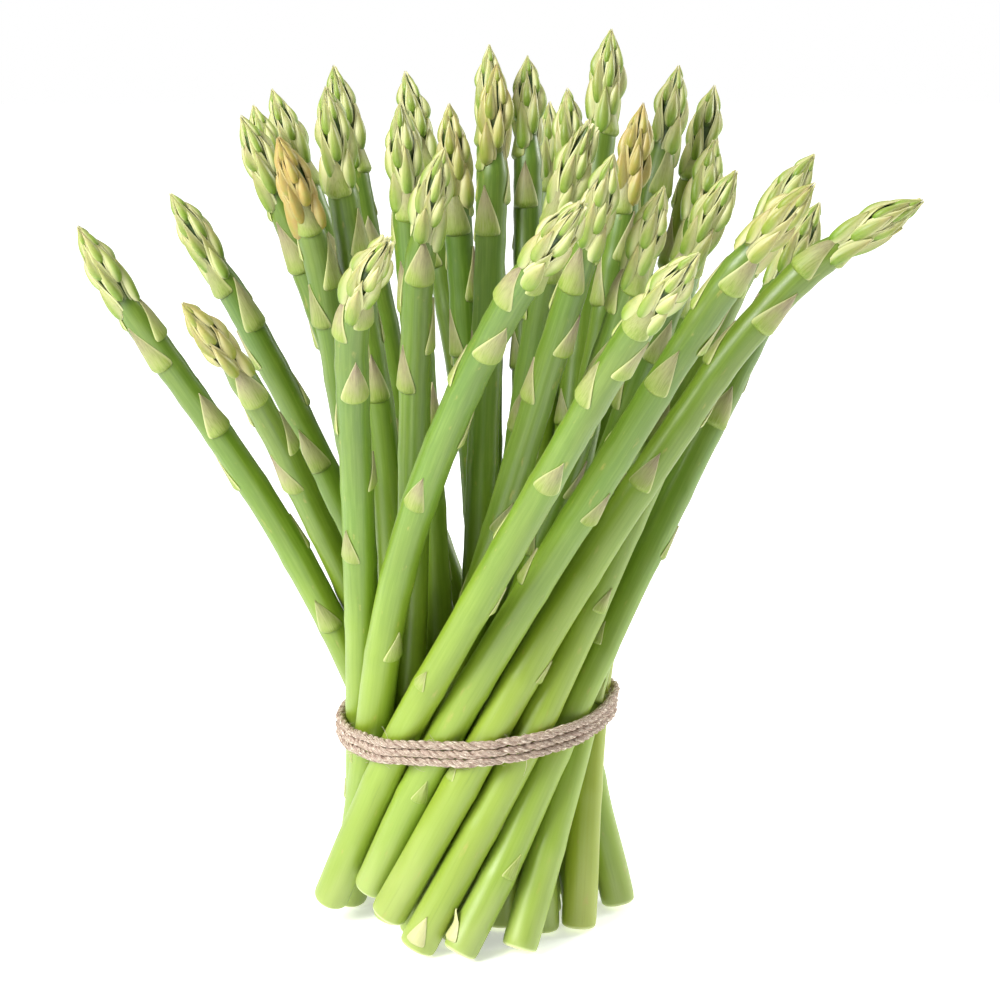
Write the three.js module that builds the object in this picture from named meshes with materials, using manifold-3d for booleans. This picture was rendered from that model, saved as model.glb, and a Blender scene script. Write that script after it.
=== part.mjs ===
// A bundle of green asparagus, tied with twine and standing upright on its cut ends.
// Units are millimetres and +Z is up. The floor is z = 0, and the origin is under the middle of the
// bundle's box. Every spear is one natural piece. The spears lean round the bundle like the wires of
// a twisted wicker stool: they cross the tie close together, and their tips fan out above it.

import * as THREE from "three";
import { mergeVertices } from "three/addons/utils/BufferGeometryUtils.js";
import Module from "manifold-3d";

// The tie and the rings of spears that it holds.
const TIE_HEIGHT = 54.5;
const TIE_SLOPE = 0.065; // the twine climbs this much per millimetre towards +X
const RING_RADIUS = { heart: 0, inner: 9.5, middle: 18.7, outer: 27.9 };
const FOOT_RADIUS = { heart: 0, inner: 12, middle: 23, outer: 36 };
const FOOT_TURN = 45; // a spear moves this many degrees round the bundle between its foot and the tie
const SPEAR_GAP = 0.55;
const BUNCH_LEAN = new THREE.Vector3(2.5, 0, 0); // how far every tip leans over with the whole bunch

// One spear. Radii are to the skin of the stem.
const CUT_RADIUS = 4.2;
const BASE_RADIUS = 4.55;
const NECK_RADIUS = 3.65;
const RIM_SLOPE = 0.45; // how fast the radius grows just above the cut
const BUD_RADIUS = 4.7;
const BUD_LENGTH = 27;
const BUD_SWELL = { reach: 0.93, forward: 0.72, fullness: 0.8 };
const BUD_CORE = { start: 0.35, rise: 0.6 };
const STEM_RINGS = 7;
const BUD_RINGS = [0.74, 0.52, 0.32, 0.14, 0.04]; // rings of vertices, as shares of the bud from its tip
const NOD_LENGTH = 45; // the length at the tip that a nodding bud bends over
const BOW_START = 0.2; // a bow starts this far up the spear
const SPEAR_SIDES = 9;

// Skin colours: hue, saturation and lightness, and how far each drifts from spear to spear.
const SKIN = { hue: 0.235, saturation: 0.46, lightness: 0.47, roughness: 0.42 };
const HUE_DRIFT = 0.006;
const LIGHTNESS_DRIFT = 0.012;

// The twine, its knot and its cut tails.
const TWINE_COLOUR = 0xcdb9a5;
const TWINE_ROUGHNESS = 0.92;
const TWINE_RADIUS = 1.25;
const TWINE_PITCH = 2.65; // from one turn to the next
const TWINE_TURNS = 3;
const TWINE_GAP = 0.6;
const TWINE_SIDES = 7;
const STEPS_PER_TURN = 60;
const CROSSING_HALVINGS = 24;
const UPRIGHT = 1e-3; // a stem that leans less than this is taken as upright
const KNOT_BEARING = 95;
const KNOT_SIZE = new THREE.Vector3(5.2, 3.4, 4.6);
const KNOT_PROUD = 0.55; // how much of the knot's thickness stands off the turns
const KNOT_SEGMENTS = { round: 12, high: 8 };
const TAIL_LENGTH = 20;
const TAIL_SPREAD = 0.55; // how far a tail reaches sideways, as a share of its length
const TAIL_DROP = 0.75; // how far its end hangs, as a share of its length
const TAIL_START = 1;
const TAIL_ARCH = 2.5;
const TAIL_ARCH_END = 0.8 * Math.PI;
const TAIL_STEPS = 8;
const TAIL_PLACES = [0, 0.3, 0.65, 1];

// Each spear's ring, its bearing in the ring where it crosses the tie (degrees anticlockwise from +X,
// seen from above) and its tip. foot is the bearing and radius of its cut end, where that isn't the
// ring's usual one. bow is how far the middle of the stem bends off its smooth line, nod is how far
// the bud bends off it, lift is the cut end's height above the floor, and girth scales its thickness.
const SPEARS = [
  { ring: "heart", bearing: 0, tip: [3, 18, 217], girth: 1 },
  { ring: "inner", bearing: 200, tip: [-20, -12, 212], girth: 1 },
  { ring: "inner", bearing: 130, tip: [-38, 34, 214], girth: 0.98 },
  { ring: "inner", bearing: 58, tip: [-9, 30, 205], girth: 0.94 },
  { ring: "inner", bearing: 345, tip: [21, 48, 206], girth: 0.94, nod: [-4, 0, 0] },
  { ring: "inner", bearing: 275, tip: [25, -22, 209], girth: 0.97, nod: [5, -2, 0] },
  { ring: "middle", bearing: 205, tip: [-9, -46, 207], girth: 0.98, nod: [6, 0, 0] },
  { ring: "middle", bearing: 240, tip: [30, -48, 206], girth: 0.97 },
  { ring: "middle", bearing: 272, tip: [42, -40, 197], girth: 0.93 },
  { ring: "middle", bearing: 302, tip: [60, -20, 197], girth: 0.95, nod: [4, 0, -1] },
  { ring: "middle", bearing: 332, tip: [39, 12, 208], girth: 0.95, foot: [325, 21] },
  { ring: "middle", bearing: 2, tip: [32, 42, 222], girth: 1, foot: [2, 24] },
  { ring: "middle", bearing: 38, tip: [11, 64, 212], girth: 0.94 },
  { ring: "middle", bearing: 70, tip: [1, 56, 216], girth: 0.93 },
  { ring: "middle", bearing: 107, tip: [-60, 12, 205], girth: 1, nod: [-3, 0, 0] },
  { ring: "middle", bearing: 141, tip: [-49, -20, 205], girth: 0.97, nod: [-5, -1, 0] },
  { ring: "middle", bearing: 174, tip: [-38, -6, 215], girth: 1.02 },
  { ring: "outer", bearing: 190, tip: [-21, -78, 192], girth: 1.02, foot: [146, 36], nod: [10, -2, -6] },
  {
    ring: "outer", bearing: 211, tip: [22, -92, 203],
    girth: 1.05, foot: [168, 34], bow: [-8, 3, 0], nod: [4, -2, -1],
  },
  {
    ring: "outer", bearing: 232, tip: [47, -98, 193],
    girth: 1.02, foot: [186, 40], nod: [4, -3, -1], lift: 4,
  },
  {
    ring: "outer", bearing: 253, tip: [76, -52, 200],
    girth: 1.03, foot: [206, 34], nod: [5, -1, -2], lift: 11,
  },
  {
    ring: "outer", bearing: 274, tip: [104, -26, 191],
    girth: 1.05, foot: [224, 34], bow: [-3, 2, 0], nod: [14, -1, -6], lift: 7,
  },
  { ring: "outer", bearing: 295, tip: [81, 8, 196], girth: 1.03, foot: [239, 33], nod: [5, 1, -2] },
  { ring: "outer", bearing: 317, tip: [84, 24, 181], girth: 1, foot: [260, 33] },
  { ring: "outer", bearing: 338, tip: [59, 60, 191], girth: 1, foot: [290, 31] },
  { ring: "outer", bearing: 359, tip: [60, 72, 203], girth: 0.98, foot: [336, 29] },
  { ring: "outer", bearing: 20, tip: [50, 60, 210], girth: 0.98, foot: [6, 37] },
  { ring: "outer", bearing: 42, tip: [17, 82, 197], girth: 0.96, foot: [26, 37] },
  { ring: "outer", bearing: 64, tip: [-21, 70, 207], girth: 0.95, foot: [44, 37] },
  { ring: "outer", bearing: 86, tip: [-56, 72, 202], girth: 0.96, foot: [60, 37] },
  { ring: "outer", bearing: 108, tip: [-60, 58, 200], girth: 0.95, foot: [77, 36] },
  {
    ring: "outer", bearing: 129, tip: [-78, 15, 185],
    girth: 0.94, foot: [94, 36], bow: [3, 1, 0], nod: [-3, 0, 1],
  },
  { ring: "outer", bearing: 149, tip: [-70, -48, 171], girth: 0.92, foot: [111, 36], nod: [-8, 0, 1] },
  {
    ring: "outer", bearing: 169, tip: [-97, -22, 184],
    girth: 0.95, foot: [129, 37], bow: [4, 0, 0], nod: [1, 0, 2],
  },
];

// Settling: the spears start on their straight lines and push each other apart until none touch.
const CENTRE_POINTS = 40;
const SETTLING_ROUNDS = 260;
const FREE_ROUNDS = 100; // the last rounds, in which nothing pulls the spears back
const STIFFNESS = 0.45;
const PULL_TO_PLACE = 0.012;
const PULL_AT_TIE = 0.06;
const TIE_REACH = 12;
const NEAR_POINTS = 5; // how far along its neighbour a spear's point looks for contact

const UP = new THREE.Vector3(0, 0, 1);
const ACROSS = new THREE.Vector3(0, 1, 0);

const vector = ([x, y, z] = [0, 0, 0]) => new THREE.Vector3(x, y, z);

function onBearing(radius, degrees, height) {
  const angle = THREE.MathUtils.degToRad(degrees);
  return new THREE.Vector3(radius * Math.cos(angle), radius * Math.sin(angle), height);
}

// ---------------------------------------------------------------- centre lines

// A spear's centre line before it settles: a smooth line from its foot through its place at the tie to
// its tip, with its bow and its nod added. The cut's lowest edge is on the floor, or lift above it.
function firstCentreLine(spear) {
  const [footBearing, footRadius] = spear.foot ?? [spear.bearing - FOOT_TURN, FOOT_RADIUS[spear.ring]];
  const foot = onBearing(footRadius, footBearing, 0);
  const tie = onBearing(RING_RADIUS[spear.ring], spear.bearing, TIE_HEIGHT);
  const tip = vector(spear.tip).add(BUNCH_LEAN).sub(vector(spear.nod));
  const along = tie.clone().sub(foot).normalize();
  foot.addScaledVector(along, (edgeDrop(spear, along) + (spear.lift ?? 0)) / along.z);
  const smooth = new THREE.CatmullRomCurve3([foot, tie, tip], false, "centripetal");
  const length = smooth.getLength();
  const points = [];
  for (let i = 0; i < CENTRE_POINTS; i++) {
    const part = i / (CENTRE_POINTS - 1);
    const nodded = Math.max(0, 1 - (length * (1 - part)) / NOD_LENGTH);
    const bowed = Math.sin(Math.PI * Math.max(0, (part - BOW_START) / (1 - BOW_START)));
    points.push(
      smooth.getPointAt(part)
        .addScaledVector(vector(spear.nod), nodded * nodded)
        .addScaledVector(vector(spear.bow), bowed),
    );
  }
  return points;
}

// A stem's radius at a distance from its cut end: narrow at the cut's edge, slowly tapering to the
// neck, then a pointed bud.
function radiusAt(distance, length, girth) {
  const fromTip = Math.max(0, length - distance);
  if (fromTip < BUD_LENGTH) {
    const part = fromTip / BUD_LENGTH;
    const swell = Math.sin(Math.PI * BUD_SWELL.reach * part ** BUD_SWELL.forward) ** BUD_SWELL.fullness;
    const core = part ** BUD_CORE.rise * THREE.MathUtils.lerp(BUD_CORE.start, 1, part);
    return girth * (BUD_RADIUS * swell * (1 - part) + NECK_RADIUS * core);
  }
  const stem = THREE.MathUtils.lerp(BASE_RADIUS, NECK_RADIUS, distance / (length - BUD_LENGTH));
  return girth * Math.min(stem, CUT_RADIUS + distance * RIM_SLOPE);
}

function lengthOf(points) {
  return points.slice(1).reduce((sum, point, i) => sum + point.distanceTo(points[i]), 0);
}

function makeSpears() {
  return SPEARS.map((spear) => {
    const rest = firstCentreLine(spear);
    const length = lengthOf(rest);
    const spacing = length / (CENTRE_POINTS - 1);
    const radii = rest.map((_, i) => radiusAt(i * spacing, length, spear.girth));
    return { ...spear, rest, radii, points: rest.map((point) => point.clone()) };
  });
}

// Keeps a spear's own bend at each point, and draws it towards its place, hardest near the tie.
function springBack({ rest, points }, pull) {
  for (let i = 1; i < points.length - 1; i++) {
    for (const axis of ["x", "y"]) {
      const bend = (points[i - 1][axis] + points[i + 1][axis]) / 2 - points[i][axis];
      const restBend = (rest[i - 1][axis] + rest[i + 1][axis]) / 2 - rest[i][axis];
      points[i][axis] += STIFFNESS * (bend - restBend);
    }
  }
  const last = points.length - 1;
  for (const [end, next, third] of [[0, 1, 2], [last, last - 1, last - 2]]) {
    for (const axis of ["x", "y"]) {
      const straight = 2 * points[next][axis] - points[third][axis];
      const restStraight = 2 * rest[next][axis] - rest[third][axis];
      points[end][axis] += STIFFNESS * (straight - restStraight + rest[end][axis] - points[end][axis]);
    }
  }
  if (!pull) return;
  for (let i = 0; i < points.length; i++) {
    const atTie = Math.abs(points[i].z - TIE_HEIGHT) < TIE_REACH;
    const share = atTie ? PULL_AT_TIE : PULL_TO_PLACE;
    points[i].x += share * (rest[i].x - points[i].x);
    points[i].y += share * (rest[i].y - points[i].y);
  }
}

const line = new THREE.Line3();
const nearest = new THREE.Vector3();

// Pushes one spear's points and its neighbour's stretches apart, level with the floor.
function partFrom(one, other) {
  one.points.forEach((point, i) => {
    const first = Math.max(0, i - NEAR_POINTS);
    const last = Math.min(CENTRE_POINTS - 2, i + NEAR_POINTS);
    for (let j = first; j <= last; j++) {
      const from = other.points[j];
      const to = other.points[j + 1];
      const needed = one.radii[i] + Math.max(other.radii[j], other.radii[j + 1]) + SPEAR_GAP;
      const share = line.set(from, to).closestPointToPointParameter(point, true);
      line.at(share, nearest);
      const missing = needed - nearest.distanceTo(point);
      if (missing <= 0) continue;
      const dx = point.x - nearest.x;
      const dy = point.y - nearest.y;
      const push = missing / 2 / Math.max(1e-6, Math.hypot(dx, dy));
      point.x += push * dx;
      point.y += push * dy;
      from.x -= push * dx * (1 - share);
      from.y -= push * dy * (1 - share);
      to.x -= push * dx * share;
      to.y -= push * dy * share;
    }
  });
}

function settle(spears) {
  for (let round = 0; round < SETTLING_ROUNDS + FREE_ROUNDS; round++) {
    spears.forEach((spear) => springBack(spear, round < SETTLING_ROUNDS));
    spears.forEach((one, i) =>
      spears.slice(i + 1).forEach((other) => {
        partFrom(one, other);
        partFrom(other, one);
      }),
    );
  }
}

// ---------------------------------------------------------------- spears

// How far the lowest edge of a square cut lies below its middle, on a stem that leans along a line.
function edgeDrop(spear, along) {
  return CUT_RADIUS * spear.girth * Math.sqrt(1 - along.z * along.z);
}

// A settled centre line as a curve. Its first point slides along the stem until the cut's lowest edge
// is at the height it stands at. The heart's cut is level.
function centreCurve(spear) {
  const [foot, second] = spear.points;
  const along = second.clone().sub(foot).normalize();
  const drop = spear.ring === "heart" ? 0 : edgeDrop(spear, along);
  const slide = (drop + (spear.lift ?? 0) - foot.z) / along.z;
  const points = [foot.clone().addScaledVector(along, slide), ...spear.points.slice(1)];
  return new THREE.CatmullRomCurve3(points, false, "centripetal");
}

// Heights of a spear's rings of vertices, as distances from the cut end.
function ringDistances(length) {
  const stem = length - BUD_LENGTH;
  const distances = [0, 1];
  for (let i = 1; i <= STEM_RINGS; i++) distances.push((stem * i) / STEM_RINGS);
  for (const part of BUD_RINGS) distances.push(length - BUD_LENGTH * part);
  return distances;
}

// A spear is turned as a straight profile about its axis, then bent along its centre line. The cut
// end is square to the stem, except on the spear at the heart of the bundle, which stands level.
function spearGeometry(spear) {
  const curve = centreCurve(spear);
  const length = curve.getLength();
  const profile = [new THREE.Vector2(0, 0)];
  for (const distance of ringDistances(length)) {
    profile.push(new THREE.Vector2(radiusAt(distance, length, spear.girth), distance));
  }
  profile.push(new THREE.Vector2(0, length));
  const geometry = new THREE.LatheGeometry(profile, SPEAR_SIDES);
  const position = geometry.getAttribute("position");
  for (let i = 0; i < position.count; i++) {
    const share = THREE.MathUtils.clamp(position.getY(i) / length, 0, 1);
    const tangent = share === 0 && spear.ring === "heart" ? UP : curve.getTangentAt(share);
    const side = ACROSS.clone().addScaledVector(tangent, -ACROSS.dot(tangent)).normalize();
    const other = tangent.clone().cross(side);
    const place = curve.getPointAt(share)
      .addScaledVector(side, position.getX(i))
      .addScaledVector(other, -position.getZ(i));
    position.setXYZ(i, place.x, place.y, place.z);
  }
  return geometry;
}

// Greens drift a little from spear to spear.
function spearMaterial(index) {
  const drift = ((index * 7) % 5) - 2;
  const hue = SKIN.hue + HUE_DRIFT * drift;
  const lightness = SKIN.lightness - LIGHTNESS_DRIFT * drift;
  const colour = new THREE.Color().setHSL(hue, SKIN.saturation, lightness);
  return new THREE.MeshStandardMaterial({ color: colour, roughness: SKIN.roughness, metalness: 0 });
}

// ---------------------------------------------------------------- twine

// Where a spear's centre line crosses the sloping plane of the tie at a given height.
function crossing(curve, height) {
  let low = 0;
  let high = 1;
  for (let halving = 0; halving < CROSSING_HALVINGS; halving++) {
    const middle = (low + high) / 2;
    const point = curve.getPoint(middle);
    if (point.z - TIE_SLOPE * point.x < height) low = middle;
    else high = middle;
  }
  return { centre: curve.getPoint(low), along: curve.getTangent(low) };
}

// The outermost point of a leaning stem's level section in a direction, with the twine lying on it.
function outermost({ centre, along, radius }, outward) {
  const reach = radius + TWINE_GAP + TWINE_RADIUS;
  const lean = new THREE.Vector3(along.x, along.y, 0);
  if (lean.length() < UPRIGHT) return centre.clone().addScaledVector(outward, reach);
  lean.normalize();
  const square = lean.clone().cross(UP);
  const longHalf = reach / along.z;
  const acrossPart = reach * reach * outward.dot(square);
  const leanPart = longHalf * longHalf * outward.dot(lean);
  const size = Math.hypot(reach * outward.dot(square), longHalf * outward.dot(lean));
  return centre.clone().addScaledVector(square, acrossPart / size).addScaledVector(lean, leanPart / size);
}

// Twine pulled tight: in each direction it passes over the spear that stands out furthest, and it
// climbs by one pitch a turn.
function twineRoute(spears) {
  const steps = TWINE_TURNS * STEPS_PER_TURN;
  const points = [];
  for (let i = 0; i <= steps; i++) {
    const turns = i / STEPS_PER_TURN;
    const outward = onBearing(1, KNOT_BEARING + 360 * turns, 0);
    const height = TIE_HEIGHT + TWINE_PITCH * (turns - TWINE_TURNS / 2);
    const candidates = spears
      .filter((spear) => spear.ring === "outer" || spear.ring === "middle")
      .map((spear) => outermost({ ...crossing(spear.curve, height), radius: spear.tieRadius }, outward));
    const place = candidates.reduce((best, next) => (next.dot(outward) > best.dot(outward) ? next : best));
    place.z = height + TIE_SLOPE * place.x;
    points.push(place);
  }
  return points;
}

function cordGeometry(points, steps) {
  const section = new THREE.Shape();
  for (let i = 0; i < TWINE_SIDES; i++) {
    const angle = (2 * Math.PI * i) / TWINE_SIDES;
    const x = TWINE_RADIUS * Math.cos(angle);
    const y = TWINE_RADIUS * Math.sin(angle);
    if (i === 0) section.moveTo(x, y);
    else section.lineTo(x, y);
  }
  section.closePath();
  const extrudePath = new THREE.CatmullRomCurve3(points, false, "centripetal");
  return new THREE.ExtrudeGeometry(section, { steps, bevelEnabled: false, extrudePath });
}

// The knot is a tight lump that sits on the outside of the turns, with two short cut tails.
function knotGeometries(points) {
  const outward = onBearing(1, KNOT_BEARING, 0);
  const sideways = onBearing(1, KNOT_BEARING + 90, 0);
  const start = points[0];
  const end = points.at(-1);
  const centre = start.clone().lerp(end, 0.5).addScaledVector(outward, KNOT_SIZE.y * KNOT_PROUD);
  const lump = new THREE.SphereGeometry(1, KNOT_SEGMENTS.round, KNOT_SEGMENTS.high).rotateX(Math.PI / 2);
  lump.scale(KNOT_SIZE.x, KNOT_SIZE.y, KNOT_SIZE.z);
  lump.rotateZ(THREE.MathUtils.degToRad(KNOT_BEARING - 90));
  lump.translate(centre.x, centre.y, centre.z);
  const tails = [-1, 1].map((hand) => {
    const route = TAIL_PLACES.map((share) =>
      centre.clone()
        .addScaledVector(sideways, hand * (TAIL_START + TAIL_SPREAD * TAIL_LENGTH * share))
        .addScaledVector(outward, TAIL_START + TAIL_ARCH * Math.sin(TAIL_ARCH_END * share))
        .addScaledVector(UP, -TAIL_DROP * TAIL_LENGTH * share * share),
    );
    return cordGeometry(route, TAIL_STEPS);
  });
  return [lump, ...tails];
}

// ---------------------------------------------------------------- joining solids

const manifold = await Module();
manifold.setup();

function solidOf(geometry) {
  const bare = geometry.index ? geometry.toNonIndexed() : geometry.clone();
  bare.deleteAttribute("normal");
  bare.deleteAttribute("uv");
  const merged = mergeVertices(bare, 1e-3);
  return new manifold.Manifold(
    new manifold.Mesh({
      numProp: 3,
      vertProperties: merged.getAttribute("position").array,
      triVerts: new Uint32Array(merged.index.array),
    }),
  );
}

function joined(geometries) {
  const mesh = geometries.map(solidOf).reduce((whole, solid) => whole.add(solid)).getMesh();
  const geometry = new THREE.BufferGeometry();
  geometry.setAttribute("position", new THREE.BufferAttribute(mesh.vertProperties, 3));
  geometry.setIndex(new THREE.BufferAttribute(mesh.triVerts, 1));
  geometry.computeVertexNormals();
  return geometry;
}

// ---------------------------------------------------------------- the bundle

const bundle = new THREE.Group();
const spears = makeSpears();
settle(spears);

spears.forEach((spear, index) => {
  spear.curve = centreCurve(spear);
  spear.tieRadius = radiusAt(TIE_HEIGHT, spear.curve.getLength(), spear.girth);
  const mesh = new THREE.Mesh(spearGeometry(spear), spearMaterial(index));
  mesh.name = `spear_${String(index + 1).padStart(2, "0")}`;
  bundle.add(mesh);
});

const route = twineRoute(spears);
const turns = cordGeometry(route, TWINE_TURNS * STEPS_PER_TURN);
const twine = new THREE.Mesh(
  joined([turns, ...knotGeometries(route)]),
  new THREE.MeshStandardMaterial({ color: TWINE_COLOUR, roughness: TWINE_ROUGHNESS, metalness: 0 }),
);
twine.name = "twine";
bundle.add(twine);

const middle = new THREE.Box3().setFromObject(bundle).getCenter(new THREE.Vector3());
bundle.position.set(-middle.x, -middle.y, 0);

export default bundle;
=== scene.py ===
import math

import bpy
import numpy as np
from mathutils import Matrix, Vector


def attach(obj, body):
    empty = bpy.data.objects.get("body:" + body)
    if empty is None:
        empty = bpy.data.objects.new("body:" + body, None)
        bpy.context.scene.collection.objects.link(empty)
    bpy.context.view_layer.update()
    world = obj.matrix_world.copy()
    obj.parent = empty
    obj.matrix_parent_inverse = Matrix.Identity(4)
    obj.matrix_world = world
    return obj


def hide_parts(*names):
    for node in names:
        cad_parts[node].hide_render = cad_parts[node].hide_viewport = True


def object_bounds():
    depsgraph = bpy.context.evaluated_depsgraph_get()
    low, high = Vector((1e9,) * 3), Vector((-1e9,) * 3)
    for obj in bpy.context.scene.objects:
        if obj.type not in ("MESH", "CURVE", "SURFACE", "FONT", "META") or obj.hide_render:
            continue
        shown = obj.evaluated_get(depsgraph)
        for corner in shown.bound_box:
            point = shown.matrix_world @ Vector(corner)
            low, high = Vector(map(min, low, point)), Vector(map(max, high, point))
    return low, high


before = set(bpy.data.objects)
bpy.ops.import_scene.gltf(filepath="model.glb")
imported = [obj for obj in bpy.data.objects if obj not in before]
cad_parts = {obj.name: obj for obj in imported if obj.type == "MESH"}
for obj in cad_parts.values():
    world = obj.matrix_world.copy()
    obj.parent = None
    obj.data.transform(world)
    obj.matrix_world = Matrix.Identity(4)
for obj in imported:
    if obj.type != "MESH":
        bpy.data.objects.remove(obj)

# The looks of a bundle of green asparagus tied with twine. Every spear is grown round the centre line
# and the radii of its own CAD node, in stem coordinates: the distance from the cut end, the angle
# round the stem and the radius. Lengths are in millimetres until a mesh is made, in metres. The studio's
# own lengths are in metres.

CAD_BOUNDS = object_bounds()
MM = 0.001
FULL_TURN = 2 * math.pi
GOLDEN_ANGLE = math.radians(137.5)
NODES = sorted(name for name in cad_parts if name.startswith("spear_"))
UP = np.array([0.0, 0.0, 1.0])
BACK = np.array([0.0, 1.0, 0.0])

# Reading a spear from its CAD node
WELD_DIGITS = 6  # vertices that agree to this many decimals of a metre are one
ENVELOPE_STEP = 0.5
SMOOTHING = 9  # how many steps the radii are smoothed over
SHARP_FOOT = 8  # the radii this close to the cut end aren't smoothed
SPEAR_SEED = 1000  # plus the spear's number, the seed of its random draws
SKIN_SPREAD = 500  # how far at most a spear is moved in the noise that colours it

# Stem
STEM_SIDES = 36
STEM_STEP = 1.3
CORE_END = 1.0  # the stem ends this far short of the tip, inside the head
RIM_ROUNDING = 0.55
RIM_INSET = 0.7  # how far the rounding draws the rim in, as a share of its height
RIB_DEPTH = 0.02
RIBS = ((2, 1.1), (3, 0.8), (7, 0.6), (11, 0.5))  # how many run round the stem, and their share of the depth
RIB_TWIST = 0.02  # radians for each millimetre
WAVES = ((13, 0.06), (5.3, 0.04))  # the stem's unevenness, by the stretch of a wave and its depth
NODE_SWELLING = 0.16
SWELLING_BELOW = 1.2  # how far under the scale's base the stem is thickest
SWELLING_SPREAD = 2.4
CORE_SHARE = 0.72  # how thick the stem is inside the head, as a share of the head
CORE_STARTS = -4  # where the stem begins to thin to the core, from the foot of the head
CORE_ENDS = 6

# Cut face, by its profile from the middle to behind the rim
CUT_OUT = (0.0, 0.3, 0.62, 0.86, 0.97, 1.0, 0.94, 0.6)  # as shares of the rim's radius
CUT_LIFT = (0.12, 0.1, 0.04, -0.05, -0.07, 0.1, 0.5, 0.6)
CUT_MARGIN = 0.8  # how far the face stays inside the stem, as a share of the rim's rounding

# Scale leaves
SCALE_GRID = (20, 13, 3)  # rings, places across the upper side and places across the underside
SCALE_DISTANCES = (27, 33, 41, 51, 64, 80, 100, 124, 152, 186)  # from the tip
SCALE_JITTER = 2
LOWEST_SCALE = 12  # from the cut end
SCALE_LENGTH = 11.5
SCALE_HALF_WIDTH = 3.6
SCALE_SHOULDER = 0.1  # the share of the length over which the base is rounded
SCALE_TAPER = 1.15
SCALE_BULGE = 0.95
SCALE_CROWN = 0.88  # how much flatter a scale is at its edges than in the middle
SCALE_SAG = 0.45
SCALE_MARGIN = 0.14
SCALE_SUNK = 0.3  # how deep the underside lies in the stem
KEEL_HEIGHT = 0.12
KEEL_WIDTH = 0.12  # as a share of the half width
CURLED_FREE = 0.4  # a point that curls out further than this leaves the stem
CURLED_THICKNESS = 0.25
LARGEST_SCALE = 1.14
SCALE_SHRINKING = 0.3  # how much smaller the scales are at FAR_SCALES from the tip than at NEAR_SCALES
NEAR_SCALES = 30
FAR_SCALES = 120
WORN_BELOW = 118  # further than this from the tip, most scales have been rubbed down to a stub
WORN_SIZE = 0.58
SPARED_SHARE = 0.35  # the share of those scales that keep their size
FOOT_SCALE_BASE = 2.0
FOOT_SCALE_SIZE = 0.7

# Head
HEAD_LENGTH = 24
OGIVE_LENGTH = 16  # the length over which the head closes to its point
OGIVE_ROUNDNESS = 2.1
OGIVE_FULLNESS = 0.85
OGIVE_TIP = 0.06  # the least radius at the tip, as a share of the CAD spear's
SHADE_STARTS = -6  # where the shade between bud scales comes in, from the foot of the head
SHADE_ENDS = 4
SHADE_TOP = 0.97  # how far out the shade reaches, as a share of the head's radius
SHADE_DEPTH = 0.12  # how far in it is full: this, and a share of the radius more
SHADE_DEPTH_SHARE = 0.3

# Bud scales of the head. They grow with their distance from the tip.
BRACT_GRID = (13, 9, 3)
BRACTS = 19
BRACT_CROWDING = 1.15
LAST_BRACT = 2.6  # from the tip
BRACT_LENGTH = 5.6
BRACT_LENGTHENING = 0.26
LONGEST_BRACT = 11.5
BRACT_BEYOND_TIP = 0.3
BRACT_HALF_WIDTH = 0.85
BRACT_WIDENING = 0.062
BRACT_BULGE = 0.45
BRACT_THICKENING = 0.05
BRACT_FULLNESS = 0.4
BRACT_WIDEST = 0.433  # the highest value of share ** BRACT_FULLNESS * (1 - share)
BRACT_SEAT = 0.9  # how far out the upper part lies, as a share of the head's radius
BRACT_EDGE = 0.1  # the height of the edge, and of the rim along it
BRACT_RIM_PLACE = 0.86
BRACT_RIM_WIDTH = 0.12
BRACT_UNDER = 0.25  # how deep the underside lies, and how much deeper in the middle
BRACT_DROOP = 0.35
OPENS_BELOW = 12  # a loose bud scale opens fully from this distance from the tip
FRAYED_LENGTH = 14
FRAYED_NARROWING = 0.7
SHEATH_POINTEDNESS = 1.3
SHEATH_FOOT = 1.6  # how far below its bud scale's base a sheath begins
SHEATH_BEYOND_TIP = 1.4
SHEATH_WIDENING = 1.35
SHEATH_BULGE = 0.2
SHEATH_SUNK = 0.3
SHEATH_LIFTS_BELOW = 10
LEAST_RADIUS = 0.1  # how close a bud scale may come to the centre line

# Twine, along the route of the CAD solid but drawn in closer to the stems, which the solid keeps clear of
TIE_HEIGHT = 55.1
TIE_SLOPE = 0.065
TWINE_RADIUS = 1.12
TWINE_PITCH = 2.25
TWINE_TURNS = 3
TWINE_GAP = 0.3
STEPS_PER_TURN = 60
MIDDLE_AND_OUTER = range(7, 35)  # the numbers of the spears that the twine can touch
NEARLY_UPRIGHT = 1e-3  # the level section of a stem that leans less than this is round
KNOT_BEARING = 95
KNOT_STANDS_OUT = 1.6
KNOT_STEPS = 5  # how many steps of the first turn and of the last the knot takes up
KNOT_LEG = 5.5
KNOT_BEND = 1.5
KNOT_HALF_HEIGHT = 1.45
KNOT_CORNER = 0.8  # radians round the bend to its points beside the middle one
KNOT_LIFT = 1.2
KNOT_CROSSING = 1.1  # how far in front of and behind its middle a bight passes
KNOT_CROSSING_LENGTH = 2.2
TAIL_LENGTH = 20
TAIL_SPREAD = 0.5  # how far a tail reaches sideways, as a share of its length
TAIL_DROP = 0.72
TAIL_ARCH = 1.8
TWINE_SEED = 77
TWINE_STEP = 0.42
PLIES = 3
PLY_RADIUS = 0.64
PLY_OFFSET = 0.5
PLY_LAY = 6.5
PLY_SIDES = 9
PLY_SPREAD = 50.0  # how far apart the plies lie in the noise that colours them
HAIRS = 420
HAIR_SIDES = 3
HAIR_RINGS = 6
HAIR_ROOT_RADIUS = 0.055
HAIR_TIP_RADIUS = 0.02
HAIR_ARCH = 0.315  # as a share of the hair's length
HAIR_RISE = 0.35  # how far at most it rises or falls, as a share of its length
HAIRLESS_RINGS = 20  # at each end of a ply

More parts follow.
